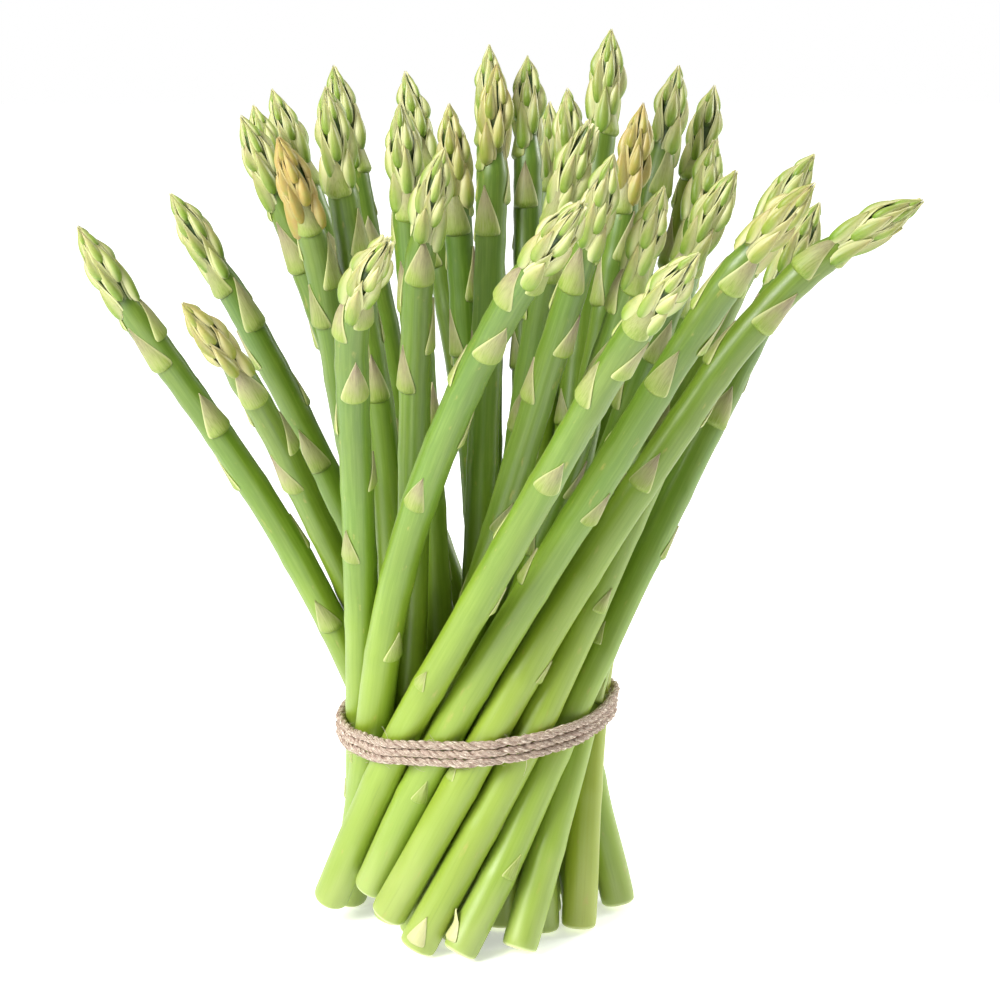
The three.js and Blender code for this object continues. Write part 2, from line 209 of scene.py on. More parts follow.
# What sets single spears apart from the rest, by number.
LOOSE_HEADS = {6: 0.9, 7: 0.5, 10: 0.6, 16: 0.6, 18: 1.0, 19: 1.0, 20: 0.7, 22: 0.9, 33: 0.6}
FRAYED_TIPS = (6, 18, 19)
BROWN_HEADS = {11: 0.6, 16: 0.8, 1: 0.3, 33: 0.35, 4: 0.25, 21: 0.2}
YELLOW_STEMS = {20: 0.55, 26: 0.8, 21: 0.45, 31: 0.2}
FOOT_SCALES = {23: (158, 0.0), 24: (112, 1.6)}  # bearing in degrees, and how far its point curls out
USUAL_LOOSENESS = 0.15
LOOSENESS_SPREAD = 0.25

# Light under the skin of the plant
SOFT_RADII = (1.0, 0.9, 0.35)  # how far red, green and blue light spread, as shares of the depth
SOFT_DEPTH = 1.2

# Studio, in metres and watts
AMBIENT_STRENGTH = 0.2  # the white backdrop as the bundle is lit by it
SOFTBOXES = {  # place, side and power
    "key_softbox": ((-1.0, -0.8, 1.0), 0.8, 35),
    "top_softbox": ((0.1, 0.2, 1.6), 1.4, 12),
    "rim_softbox": ((1.1, 0.6, 0.5), 0.5, 12),
}
FLOOR_HALF_SIZE = 1.3
FLOOR_GLOW = 0.43
CAMERA_DISTANCE = 0.9
CAMERA_HEIGHT_ANGLE = math.radians(15.5)
CAMERA_LENS = 129.6
CAMERA_SENSOR = 36.0
CAMERA_NEAREST = 0.01
CAMERA_FURTHEST = 50
AIM_OFFSET = Vector((0.0008, 0.0078, -0.0008))  # from the middle of the bundle


# ---------------------------------------------------------------- lines through the frame

def unit(vectors):
    return vectors / np.linalg.norm(vectors, axis=-1, keepdims=True)


def smooth_step(low, high, value):
    part = np.clip((value - low) / (high - low), 0, 1)
    return part * part * (3 - 2 * part)


def bell(value):
    return np.exp(-(value ** 2))


def quarter_circle(share):
    """How high a quarter circle has risen, from 0 to 1, at a share of its width."""
    return np.sqrt(np.clip(1 - (1 - share) ** 2, 0, 1))


class Line:
    """A smooth line through points, walked by distance from its first point."""

    STEP = 0.25

    def __init__(self, points):
        points = np.asarray(points, float)
        at = np.concatenate([[0], np.cumsum(np.linalg.norm(np.diff(points, axis=0), axis=1))])
        gaps = np.diff(at)[:, None]
        slopes = np.diff(points, axis=0) / gaps
        inner = (slopes[:-1] * gaps[1:] + slopes[1:] * gaps[:-1]) / (gaps[1:] + gaps[:-1])
        slopes = np.vstack([2 * slopes[:1] - inner[:1], inner, 2 * slopes[-1:] - inner[-1:]])
        where = np.linspace(0, at[-1], max(2, int(at[-1] / self.STEP)))
        span = np.clip(np.searchsorted(at, where, side="right") - 1, 0, len(at) - 2)
        gap = (at[span + 1] - at[span])[:, None]
        part = (where - at[span])[:, None] / gap
        self.points = (
            points[span] * (1 + 2 * part) * (1 - part) ** 2
            + points[span + 1] * part ** 2 * (3 - 2 * part)
            + slopes[span] * gap * part * (1 - part) ** 2
            + slopes[span + 1] * gap * part ** 2 * (part - 1)
        )
        walked = np.linalg.norm(np.diff(self.points, axis=0), axis=1)
        self.at = np.concatenate([[0], np.cumsum(walked)])
        self.length = self.at[-1]
        self.along = unit(np.gradient(self.points, self.at, axis=0))

    def read(self, table, distance):
        return np.stack([np.interp(distance, self.at, table[:, axis]) for axis in range(3)], axis=-1)

    def point(self, distance):
        beyond = distance - np.clip(distance, 0, self.length)
        return self.read(self.points, distance) + beyond[..., None] * self.tangent(distance)

    def tangent(self, distance):
        return unit(self.read(self.along, distance))


def rings_of(node):
    """The rings of vertices of a spear's CAD node, from the cut end up, as (centres, radii)."""
    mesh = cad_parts[node].data
    number_of = {}
    places = []
    numbers = []
    for vertex in mesh.vertices:
        key = tuple(round(value, WELD_DIGITS) for value in vertex.co)
        if key not in number_of:
            number_of[key] = len(places)
            places.append(np.array(vertex.co) / MM)
        numbers.append(number_of[key])
    neighbours = [set() for _ in places]
    for edge in mesh.edges:
        one, other = (numbers[index] for index in edge.vertices)
        neighbours[one].add(other)
        neighbours[other].add(one)
    poles = sorted(range(len(places)), key=lambda index: -len(neighbours[index]))[:2]
    start = min(poles, key=lambda index: places[index][2])
    layers = [[start]]
    seen = {start}
    while True:
        layer = sorted({near for index in layers[-1] for near in neighbours[index]} - seen)
        if not layer:
            break
        seen.update(layer)
        layers.append(layer)
    centres = []
    radii = []
    for layer in layers[1:]:
        corners = np.array([places[index] for index in layer])
        centres.append(corners.mean(axis=0))
        radii.append(np.linalg.norm(corners - centres[-1], axis=1).mean())
    return np.array(centres), np.array(radii)


class Spear:
    """One spear's centre line, radii and character."""

    def __init__(self, node):
        self.node = node
        self.number = int(node.split("_")[1])
        self.random = np.random.default_rng(SPEAR_SEED + self.number)
        centres, radii = rings_of(node)
        self.line = Line(centres)
        self.length = self.line.length
        self.head_start = self.length - HEAD_LENGTH
        steps = np.concatenate([[0], np.cumsum(np.linalg.norm(np.diff(centres, axis=0), axis=1))])
        self.fine = np.arange(0, self.length, ENVELOPE_STEP)
        rough = np.interp(self.fine, steps * self.length / steps[-1], radii)
        kernel = np.hanning(SMOOTHING) / np.hanning(SMOOTHING).sum()
        smooth = np.convolve(np.pad(rough, SMOOTHING // 2, mode="edge"), kernel, mode="valid")
        self.envelopes = np.where(self.fine < SHARP_FOOT, rough, smooth)
        usual = USUAL_LOOSENESS + LOOSENESS_SPREAD * self.random.random()
        self.loose = LOOSE_HEADS.get(self.number, usual)
        self.brown = BROWN_HEADS.get(self.number, 0.0)
        self.yellow = YELLOW_STEMS.get(self.number, 0.0)
        self.drift = self.random.random()
        self.skin_offset = self.random.uniform(-SKIN_SPREAD, SKIN_SPREAD, 3)
        self.first_bearing = self.random.uniform(0, FULL_TURN)
        side = BACK - (self.line.along @ BACK)[:, None] * self.line.along
        self.side = unit(side)
        self.other = np.cross(self.line.along, self.side)
        bases = [self.length - distance for distance in SCALE_DISTANCES]
        bases = [base for base in bases if base > LOWEST_SCALE]
        self.scale_bases = [base + self.random.uniform(-SCALE_JITTER, SCALE_JITTER) for base in bases]

    def envelope(self, distance):
        """The radius of the CAD spear, drawn in to a sharper point than the CAD spear has."""
        left = np.clip((self.length - distance) / OGIVE_LENGTH, 0, 1)
        point = (1 - (1 - left) ** OGIVE_ROUNDNESS) ** OGIVE_FULLNESS
        drawn_in = np.where(left < 1, np.minimum(1, point + OGIVE_TIP), 1)
        return np.interp(distance, self.fine, self.envelopes) * drawn_in

    def skin(self, distance):
        """The radius of the stem, which runs on thinner as the core of the head."""
        into_head = smooth_step(self.head_start + CORE_STARTS, self.head_start + CORE_ENDS, distance)
        return self.envelope(distance) * (1 - (1 - CORE_SHARE) * into_head)

    def place(self, distance, angle, radius):
        """Where stem coordinates are. Angles start at the back and turn to the camera's left."""
        inside = np.clip(distance, 0, self.length)
        side = self.line.read(self.side, inside)
        other = self.line.read(self.other, inside)
        turned = np.cos(angle)[..., None] * side + np.sin(angle)[..., None] * other
        return self.line.point(distance) + radius[..., None] * turned


# ---------------------------------------------------------------- meshes

class Growth:
    """Gathers closed tubes into one mesh. A tube is a grid of rings by sides, closed round the middle of
    each end ring. Each vertex keeps three vectors for the materials: skin is its place on the unrolled
    stem, look is (share along the leaf, share out to its edge, tone), and site is (share of the spear's
    height, depth under the outside of the head that the materials paint as shade, brownness)."""

    def __init__(self):
        self.places = []
        self.vectors = {"skin": [], "look": [], "site": []}
        self.faces = []
        self.sizes = []
        self.slots = []
        self.count = 0

    def add(self, places, skin, look, site, slot):
        rings, sides = places.shape[:2]
        index = self.count + np.arange(rings * sides).reshape(rings, sides)
        beside = np.roll(index, -1, axis=1)
        quads = np.stack([index[:-1], beside[:-1], beside[1:], index[1:]], axis=-1).reshape(-1, 4)
        first_pole = self.count + rings * sides
        low = np.stack([np.full(sides, first_pole), beside[0], index[0]], axis=-1)
        high = np.stack([np.full(sides, first_pole + 1), index[-1], beside[-1]], axis=-1)
        self.faces += [quads.ravel(), low.ravel(), high.ravel()]
        self.sizes += [np.full(len(quads), 4), np.full(2 * sides, 3)]
        self.slots.append(np.full(len(quads) + 2 * sides, slot))
        self.places.append(self.with_poles(places))
        for name, values in (("skin", skin), ("look", look), ("site", site)):
            self.vectors[name].append(self.with_poles(np.broadcast_to(values, (rings, sides, 3))))
        self.count += rings * sides + 2

    @staticmethod
    def with_poles(grid):
        return np.vstack([grid.reshape(-1, 3), grid[0].mean(axis=0), grid[-1].mean(axis=0)])

    def piece(self, name, materials):
        places = np.vstack(self.places) * MM
        corners = np.concatenate(self.faces)
        sizes = np.concatenate(self.sizes)
        mesh = bpy.data.meshes.new(name)
        mesh.vertices.add(len(places))
        mesh.vertices.foreach_set("co", places.ravel().astype(np.float32))
        mesh.loops.add(len(corners))
        mesh.loops.foreach_set("vertex_index", corners.astype(np.int32))
        mesh.polygons.add(len(sizes))
        starts = np.concatenate([[0], np.cumsum(sizes)[:-1]])
        mesh.polygons.foreach_set("loop_start", starts.astype(np.int32))
        mesh.polygons.foreach_set("material_index", np.concatenate(self.slots).astype(np.int32))
        mesh.polygons.foreach_set("use_smooth", np.ones(len(sizes), bool))
        mesh.update(calc_edges=True)
        mesh.validate()
        for key, values in self.vectors.items():
            attribute = mesh.attributes.new(key, "FLOAT_VECTOR", "POINT")
            attribute.data.foreach_set("vector", np.vstack(values).ravel().astype(np.float32))
        for material in materials:
            mesh.materials.append(material)
        piece = bpy.data.objects.new(name, mesh)
        bpy.context.scene.collection.objects.link(piece)
        return piece


def grid3(first, second, third):
    return np.stack(np.broadcast_arrays(first, second, third), axis=-1)


def grow(growth, spear, distance, angle, radius, look, slot):
    """Adds a tube given in a spear's stem coordinates."""
    places = spear.place(distance, angle, radius)
    skin = grid3(radius * np.cos(angle), radius * np.sin(angle), distance) + spear.skin_offset
    outside = spear.envelope(np.clip(distance, 0, spear.length))
    # mask of painted shade: how deep a place lies under the outside of the head, counted within the head
    # only
    depth = np.clip((outside * SHADE_TOP - radius) / (SHADE_DEPTH + SHADE_DEPTH_SHARE * outside), 0, 1)
    in_head = smooth_step(spear.head_start + SHADE_STARTS, spear.head_start + SHADE_ENDS, distance)
    site = grid3(distance / spear.length, depth * in_head, spear.brown)
    growth.add(places, skin, look, site, slot)


STEM, SCALE, BRACT, CUT = range(4)  # a spear's materials, by their places in its mesh


def angles_round(sides):
    return np.linspace(0, FULL_TURN, sides, endpoint=False)


def grow_stem(growth, spear):
    """The stem from its cut end to the core of the head, faintly ribbed and swollen at each scale."""
    lengthwise = np.arange(RIM_ROUNDING, spear.length - 1.5 * CORE_END, STEM_STEP)
    distance = np.concatenate([[0.0, RIM_ROUNDING / 4], lengthwise, [spear.length - CORE_END]])
    angle, distance = np.broadcast_arrays(angles_round(STEM_SIDES)[None, :], distance[:, None])
    radius = spear.skin(distance)
    phases = spear.random.uniform(0, FULL_TURN, len(RIBS))
    for (count, share), phase in zip(RIBS, phases):
        radius = radius + share * RIB_DEPTH * np.cos(count * angle + phase + RIB_TWIST * distance)
    for (stretch, depth), phase in zip(WAVES, phases):
        radius = radius + depth * np.sin(distance / stretch + phase)
    for base in spear.scale_bases:
        radius = radius + NODE_SWELLING * bell((distance - base + SWELLING_BELOW) / SWELLING_SPREAD)
    inset = RIM_ROUNDING * RIM_INSET * (1 - quarter_circle(distance / RIM_ROUNDING))
    radius = np.where(distance < RIM_ROUNDING, radius - inset, radius)
    look = grid3(distance / spear.length, 0.0, spear.drift + spear.yellow)
    grow(growth, spear, distance, angle, radius, look, STEM)


def grow_cut(growth, spear):
    """The pale cut face: a thin disc, a little hollow, set in the end of the stem."""
    profile = np.array([CUT_OUT, CUT_LIFT])[:, :, None]
    out, lift, angle = np.broadcast_arrays(profile[0], profile[1], angles_round(STEM_SIDES)[None, :])
    rim = spear.skin(np.array(0.3)) - RIM_ROUNDING * CUT_MARGIN
    look = grid3(out, out, spear.drift)
    grow(growth, spear, lift, angle, np.maximum(out * rim, 0.02), look, CUT)


def leaf_grid(rings, across, under):
    """Coordinates over a closed leaf: v from base to point, u from edge to edge, and whether on top."""
    v = np.linspace(0, 1, rings)
    top = np.sin(np.linspace(-0.5, 0.5, across) * math.pi)
    bottom = np.linspace(1, -1, under + 2)[1:-1]
    u = np.concatenate([top, bottom])
    is_top = np.concatenate([np.ones(across), np.zeros(under)])
    return v[:, None], u[None, :], is_top[None, :]


def leaf_look(v, u, is_top, tone):
    """What the materials are told about a leaf, whose underside counts as edge."""
    return grid3(v, np.abs(u) * is_top + (1 - is_top), tone)


def grow_scale(growth, spear, base, bearing, size, curl=0.0):
    """A triangular scale leaf that lies on the stem: bulging over its base, thin at its point."""
    v, u, is_top = leaf_grid(*SCALE_GRID)
    half_width = SCALE_HALF_WIDTH * size * spear.random.uniform(0.9, 1.1)
    length = SCALE_LENGTH * size * spear.random.uniform(0.88, 1.12)
    lean = 1.6 * spear.random.uniform(-0.35, 0.35)
    tapering = 1 - np.clip((v - SCALE_SHOULDER) / (1 - SCALE_SHOULDER), 0, 1) ** SCALE_TAPER
    rounding = quarter_circle(np.clip(v / SCALE_SHOULDER, 0, 1))
    outline = half_width * np.maximum(tapering * (0.9 + 0.1 * rounding), 0.015)
    distance = base + length * v - SCALE_SAG * size * (1 - u * u) * (1 - v) ** 3
    seat = spear.skin(distance)
    climb = smooth_step(0, 0.09, v) * (1 - 0.8 * v ** 0.9)
    crown = 1 - SCALE_CROWN * np.abs(u) ** 2.3
    keel = KEEL_HEIGHT * bell(u / KEEL_WIDTH) * smooth_step(0.1, 0.5, v)
    curling = curl * smooth_step(0.3, 1.0, v) ** 2
    lift = SCALE_BULGE * size * climb * crown + SCALE_MARGIN * smooth_step(0, 0.05, v) + keel
    lift = lift + curling
    below = np.where(curling > CURLED_FREE, lift - CURLED_THICKNESS, -SCALE_SUNK)
    radius = seat + np.where(is_top > 0, lift, below)
    angle = bearing + (u * outline + lean * v * v) / seat
    look = leaf_look(v, u, is_top, spear.random.random())
    grow(growth, spear, distance, angle, radius, look, SCALE)


def grow_bract(growth, spear, away, bearing, length, half_width, bulge, splay, sunk=0.0, pointedness=1.0):
    """A bud scale of the head: round below, pointed above. Its base is on the core, and its upper part
    lies at the outside of the head, over the feet of the next ones."""
    v, u, is_top = leaf_grid(*BRACT_GRID)
    swelling = v ** BRACT_FULLNESS * (1 - v) ** pointedness / BRACT_WIDEST
    outline = half_width * np.clip(swelling, 0.02, 1)
    distance = spear.length - away + length * v
    inside = np.clip(distance, 0, spear.length)
    core = spear.skin(inside)
    outside = spear.envelope(inside)
    climb = smooth_step(-0.15, 0.5, v)
    seat = core + (outside * BRACT_SEAT - core) * climb - sunk
    crown = 1 - u * u
    thick = bulge * crown * np.sin(math.pi * v ** 0.75) ** 0.7
    rim = BRACT_EDGE * bell((np.abs(u) - BRACT_RIM_PLACE) / BRACT_RIM_WIDTH)
    top = thick + rim + BRACT_EDGE
    bottom = -BRACT_UNDER - BRACT_UNDER * crown
    opening = splay * v * v
    radius = np.maximum(seat + np.where(is_top > 0, top, bottom) + opening, 1.2 * LEAST_RADIUS)
    droop = BRACT_DROOP * bulge * np.abs(u) ** 3 * np.sin(math.pi * v)
    angle = bearing + u * outline / np.maximum(seat + 0.6, 1.0)
    look = leaf_look(v, u, is_top, spear.random.random())
    grow(growth, spear, distance, angle, np.maximum(radius - droop, LEAST_RADIUS), look, BRACT)


def grow_head(growth, spear):
    """The spiral of bud scales that closes over the growing point, each with a wider, thinner sheath that
    begins a little lower."""
    frayed = spear.number in FRAYED_TIPS
    for index in range(BRACTS):
        away = HEAD_LENGTH * (1 - index / BRACTS) ** BRACT_CROWDING + LAST_BRACT
        bearing = spear.first_bearing + GOLDEN_ANGLE * (index + len(SCALE_DISTANCES))
        bearing = bearing + spear.random.uniform(-0.14, 0.14)
        usual = min(BRACT_LENGTH + BRACT_LENGTHENING * away, LONGEST_BRACT)
        length = min(usual * spear.random.uniform(0.78, 1.15), away + BRACT_BEYOND_TIP)
        half_width = (BRACT_HALF_WIDTH + BRACT_WIDENING * away) * spear.random.uniform(0.75, 1.12)
        bulge = (BRACT_BULGE + BRACT_THICKENING * away) * spear.random.uniform(0.7, 1.25)
        splay = spear.loose * spear.random.uniform(0.0, 1.0) * min(1.0, away / OPENS_BELOW)
        if frayed and away < FRAYED_LENGTH:
            splay = splay + spear.random.uniform(0.3, 1.8)
            half_width = half_width * FRAYED_NARROWING
        cover = min(length * spear.random.uniform(1.3, 1.7), away + SHEATH_BEYOND_TIP)
        lift = splay + spear.random.uniform(0.0, 0.7) * min(1.0, away / SHEATH_LIFTS_BELOW)
        grow_bract(
            growth, spear, away + SHEATH_FOOT, bearing, cover, half_width * SHEATH_WIDENING,
            SHEATH_BULGE, lift, sunk=SHEATH_SUNK, pointedness=SHEATH_POINTEDNESS,
        )
        grow_bract(growth, spear, away, bearing, length, half_width, bulge, splay)


def make_spear(node, materials):
    """A whole spear as one piece. Its scale leaves lie in a spiral that turns as the head's does."""
    spear = Spear(node)
    growth = Growth()
    grow_stem(growth, spear)
    grow_cut(growth, spear)
    for index, base in enumerate(spear.scale_bases):
        bearing = spear.first_bearing - GOLDEN_ANGLE * index + spear.random.uniform(-0.15, 0.15)
        from_tip = spear.length - base
        worn = from_tip > WORN_BELOW and spear.random.random() > SPARED_SHARE
        whole = LARGEST_SCALE - SCALE_SHRINKING * smooth_step(NEAR_SCALES, FAR_SCALES, from_tip)
        grow_scale(growth, spear, base, bearing, WORN_SIZE if worn else whole)
    if spear.number in FOOT_SCALES:
        degrees, curl = FOOT_SCALES[spear.number]
        grow_scale(growth, spear, FOOT_SCALE_BASE, math.radians(degrees), FOOT_SCALE_SIZE, curl)
    grow_head(growth, spear)
    piece = growth.piece(f"asparagus_{spear.number:02d}", materials)
    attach(piece, "root")
    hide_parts(node)
    return spear


# ---------------------------------------------------------------- twine

def on_bearing(degrees):
    angle = math.radians(degrees)
    return np.array([math.cos(angle), math.sin(angle), 0.0])


def outermost(centre, along, reach, outward):
    """The place of the twine's middle over a leaning stem's level section, furthest in a direction."""
    lean = np.array([along[0], along[1], 0.0])
    if np.linalg.norm(lean) < NEARLY_UPRIGHT:
        return centre + reach * outward
    lean = unit(lean)
    square = np.cross(lean, UP)
    long_half = reach / along[2]
    across = reach * outward.dot(square)
    lengthwise = long_half * outward.dot(lean)
    shift = across * reach * square + lengthwise * long_half * lean
    return centre + shift / math.hypot(across, lengthwise)


def twine_turns(spears):
    """Twine pulled tight over the spears that stand out furthest, climbing by one pitch a turn."""
    heart = spears[0].line.points[0]
    held = [spear for spear in spears if spear.number in MIDDLE_AND_OUTER]
    levels = [spear.line.points[:, 2] - TIE_SLOPE * (spear.line.points[:, 0] - heart[0]) for spear in held]
    reaches = [float(spear.envelope(TIE_HEIGHT)) + TWINE_GAP + TWINE_RADIUS for spear in held]
    route = []
    for step in range(TWINE_TURNS * STEPS_PER_TURN + 1):
        turns = step / STEPS_PER_TURN
        outward = on_bearing(KNOT_BEARING + 360 * turns)
        height = TIE_HEIGHT + TWINE_PITCH * (turns - TWINE_TURNS / 2)
        best = None
        for spear, level, reach in zip(held, levels, reaches):
            at = np.interp(height, level, spear.line.at)
            place = outermost(spear.line.point(at), spear.line.tangent(at), reach, outward)
            if best is None or place.dot(outward) > best.dot(outward):
                best = place
        best[2] = height + TIE_SLOPE * (best[0] - heart[0])
        route.append(best)
    return route


def knot_bight(centre, sideways, outward, hand):
    """One of the two interlocked bights of a reef knot: in along one leg, round, and out by the other."""
    leg = [(KNOT_LEG, KNOT_HALF_HEIGHT), (KNOT_LEG / 2, KNOT_HALF_HEIGHT), (0.0, KNOT_HALF_HEIGHT)]
    turns = (KNOT_CORNER, math.pi / 2, math.pi - KNOT_CORNER)
    bend = [(-KNOT_BEND * math.sin(turn), KNOT_HALF_HEIGHT * math.cos(turn)) for turn in turns]
    other_leg = [(along, -high) for along, high in reversed(leg)]
    route = []
    for along, high in leg + bend + other_leg:
        part = max(-1.0, min(1.0, along / KNOT_CROSSING_LENGTH))
        out = KNOT_LIFT - KNOT_CROSSING * math.sin(part * math.pi / 2)
        route.append(centre + hand * along * sideways + hand * high * UP + out * outward)
    return route


def twine_route(spears):
    """Tail, bight, the turns, bight, tail, as one length of twine."""
    turns = twine_turns(spears)
    outward = on_bearing(KNOT_BEARING)
    sideways = on_bearing(KNOT_BEARING + 90)
    centre = (turns[0] + turns[-1]) / 2 + KNOT_STANDS_OUT * outward
    first = knot_bight(centre, sideways, outward, 1)
    last = knot_bight(centre, sideways, outward, -1)
    tails = []
    for hand, bight in ((1, first), (-1, last)):
        tail = [
            bight[0]
            + hand * sideways * TAIL_SPREAD * TAIL_LENGTH * share
            + outward * TAIL_ARCH * math.sin(math.pi * 0.8 * share)
            - UP * TAIL_DROP * TAIL_LENGTH * share * share
            for share in (1, 0.8, 0.6, 0.4, 0.2)
        ]
        tails.append(tail)
    return tails[0] + first + turns[KNOT_STEPS:-KNOT_STEPS] + last[::-1] + tails[1][::-1]


def square_to(places, along):
    """Two directions square to a line at each of its places. The first points away from the bundle."""
    outward = places * (1 - UP)
    first = unit(outward - (outward * along).sum(axis=1, keepdims=True) * along)
    return first, np.cross(along, first)


def tube_round(centre, radius, sides):
    """A round tube about a line of places, as a grid of places and the angle of each side."""
    first, second = square_to(centre, unit(np.gradient(centre, axis=0)))
    angle = angles_round(sides)
    ring = np.cos(angle)[None, :, None] * first[:, None] + np.sin(angle)[None, :, None] * second[:, None]
    return centre[:, None] + radius[:, None, None] * ring, angle


def grow_ply(growth, ply, at, middle, first, second):
    """One ply, wound round the middle of the twine and thinned at its two cut ends."""
    turn = FULL_TURN * (at / PLY_LAY + ply / PLIES) + 0.5 * np.sin(at / 17.0 + ply)
    offset = PLY_OFFSET * (1 + 0.08 * np.sin(at / 6.1 + 2 * ply))
    centre = middle + offset[:, None] * (np.cos(turn)[:, None] * first + np.sin(turn)[:, None] * second)
    radius = PLY_RADIUS * (1 + 0.07 * np.sin(at / 3.7 + ply) + 0.05 * np.sin(at / 1.9 + 3 * ply))
    radius[:2] *= (0.55, 0.9)
    radius[-2:] *= (0.9, 0.55)
    places, angle = tube_round(centre, radius, PLY_SIDES)
    skin = grid3(angle[None, :] * PLY_RADIUS, ply * PLY_SPREAD, at[:, None])
    growth.add(places, skin, grid3(0.0, 0.0, ply / PLIES), np.zeros(3), 0)
    return places


def grow_hair(growth, random, surface, at, middle, along):
    """A loose fibre that leaves one of the plies, along the twine and a little outward."""
    ply = surface[random.integers(PLIES)]
    ring = random.integers(HAIRLESS_RINGS, len(ply) - HAIRLESS_RINGS)
    root = ply[ring, random.integers(PLY_SIDES)]
    away = unit(root - middle[ring])
    heading = unit(along[ring] * random.choice((-1, 1)) + 0.5 * random.normal(size=3))
    length = random.uniform(1.2, 3.6)
    share = np.linspace(0, 1, HAIR_RINGS)[:, None]
    arch = HAIR_ARCH * length * np.sin(share * random.uniform(1.5, 3.0))
    fall = random.uniform(-HAIR_RISE, HAIR_RISE) * length * share * share
    curve = root + length * share * heading + away * arch + UP * fall
    radius = np.linspace(HAIR_ROOT_RADIUS, HAIR_TIP_RADIUS, HAIR_RINGS)
    places, _ = tube_round(curve, radius, HAIR_SIDES)
    look = grid3(1.0, 1.0, random.random())
    growth.add(places, grid3(0.0, 0.0, at[ring]), look, np.zeros(3), 0)


def make_twine(spears, material):
    """Three twisted plies with loose fibres, from one cut tail round the bundle to the other."""
    random = np.random.default_rng(TWINE_SEED)
    line = Line(twine_route(spears))
    at = np.arange(0, line.length, TWINE_STEP)
    middle = line.point(at)
    along = line.tangent(at)
    first, second = square_to(middle, along)
    growth = Growth()
    surface = [grow_ply(growth, ply, at, middle, first, second) for ply in range(PLIES)]
    for _ in range(HAIRS):
        grow_hair(growth, random, surface, at, middle, along)
    piece = growth.piece("plied_twine", [material])
    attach(piece, "root")
    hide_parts("twine")


# ---------------------------------------------------------------- materials

def linear(red, green, blue):
    """A colour given as a screen shows it, 0 to 255, as the linear values that a shader takes (sRGB)."""
    shown = [value / 255 for value in (red, green, blue)]
    light = [value / 12.92 if value <= 0.04045 else ((value + 0.055) / 1.055) ** 2.4 for value in shown]
    return light + [1.0]


class Graph:
    """A material's node tree, built by short calls that each return an output socket."""

    def __init__(self, name):
        self.material = bpy.data.materials.new(name)
        self.material.use_nodes = True
        self.tree = self.material.node_tree
        self.shader = self.tree.nodes["Principled BSDF"]

    def node(self, kind, **settings):
        node = self.tree.nodes.new(kind)
        for key, value in settings.items():
            setattr(node, key, value)
        return node

    def feed(self, socket, value):
        if isinstance(value, bpy.types.NodeSocket):
            self.tree.links.new(value, socket)
        else:
            socket.default_value = value

    def attribute(self, name):
        return self.node("ShaderNodeAttribute", attribute_name=name).outputs["Vector"]

    def parts(self, vector):
        node = self.node("ShaderNodeSeparateXYZ")
        self.feed(node.inputs[0], vector)
        return node.outputs

    def math(self, operation, first, second, clamp=False):
        node = self.node("ShaderNodeMath", operation=operation, use_clamp=clamp)
        self.feed(node.inputs[0], first)
        self.feed(node.inputs[1], second)
        return node.outputs[0]

    def moved(self, value, noise, reach):
        """A value that a noise moves up or down, by half of the reach at most."""
        move = self.math("MULTIPLY", self.math("SUBTRACT", noise, 0.5), reach)
        return self.math("ADD", value, move)

    def noise(self, vector, stretch, detail=3.0, roughness=0.55):
        """Noise over skin coordinates. stretch is how many features there are per millimetre, by axis."""
        mapping = self.node("ShaderNodeMapping")
        self.feed(mapping.inputs["Vector"], vector)
        mapping.inputs["Scale"].default_value = stretch
        node = self.node("ShaderNodeTexNoise")
        self.feed(node.inputs["Vector"], mapping.outputs[0])
        node.inputs["Scale"].default_value = 1.0
        node.inputs["Detail"].default_value = detail
        node.inputs["Roughness"].default_value = roughness
        return node.outputs["Fac"]

    def ramp(self, value, stops):
        """A ramp through stops, each a place from 0 to 1 with a colour or a share."""
        node = self.node("ShaderNodeValToRGB")
        self.feed(node.inputs[0], value)
        elements = node.color_ramp.elements
        while len(elements) < len(stops):
            elements.new(0.5)
        for element, (position, colour) in zip(elements, stops):
            element.position = position
            element.color = colour if isinstance(colour, list) else [colour] * 3 + [1.0]
        return node.outputs[0]

    def mix(self, share, first, second):
        node = self.node("ShaderNodeMix", data_type="RGBA")
        self.feed(node.inputs["Factor"], share)
        colour_inputs = [socket for socket in node.inputs if socket.type == "RGBA"]
        self.feed(colour_inputs[0], first)
        self.feed(colour_inputs[1], second)
        return [socket for socket in node.outputs if socket.type == "RGBA"][0]

    def bump(self, height, distance, strength, normal=None):
        node = self.node("ShaderNodeBump")
        node.inputs["Strength"].default_value = strength
        node.inputs["Distance"].default_value = distance * MM
        self.feed(node.inputs["Height"], height)
        if normal is not None:
            self.feed(node.inputs["Normal"], normal)
        return node.outputs[0]

    def finish(self, colour, roughness, normal, soft=0.0, specular=0.5):
        shader = self.shader
        self.feed(shader.inputs["Base Color"], colour)
        self.feed(shader.inputs["Roughness"], roughness)
        self.feed(shader.inputs["Normal"], normal)
        shader.inputs["Specular IOR Level"].default_value = specular
        shader.inputs["Subsurface Weight"].default_value = soft
        shader.inputs["Subsurface Radius"].default_value = SOFT_RADII
        shader.inputs["Subsurface Scale"].default_value = SOFT_DEPTH * MM
        return self.material


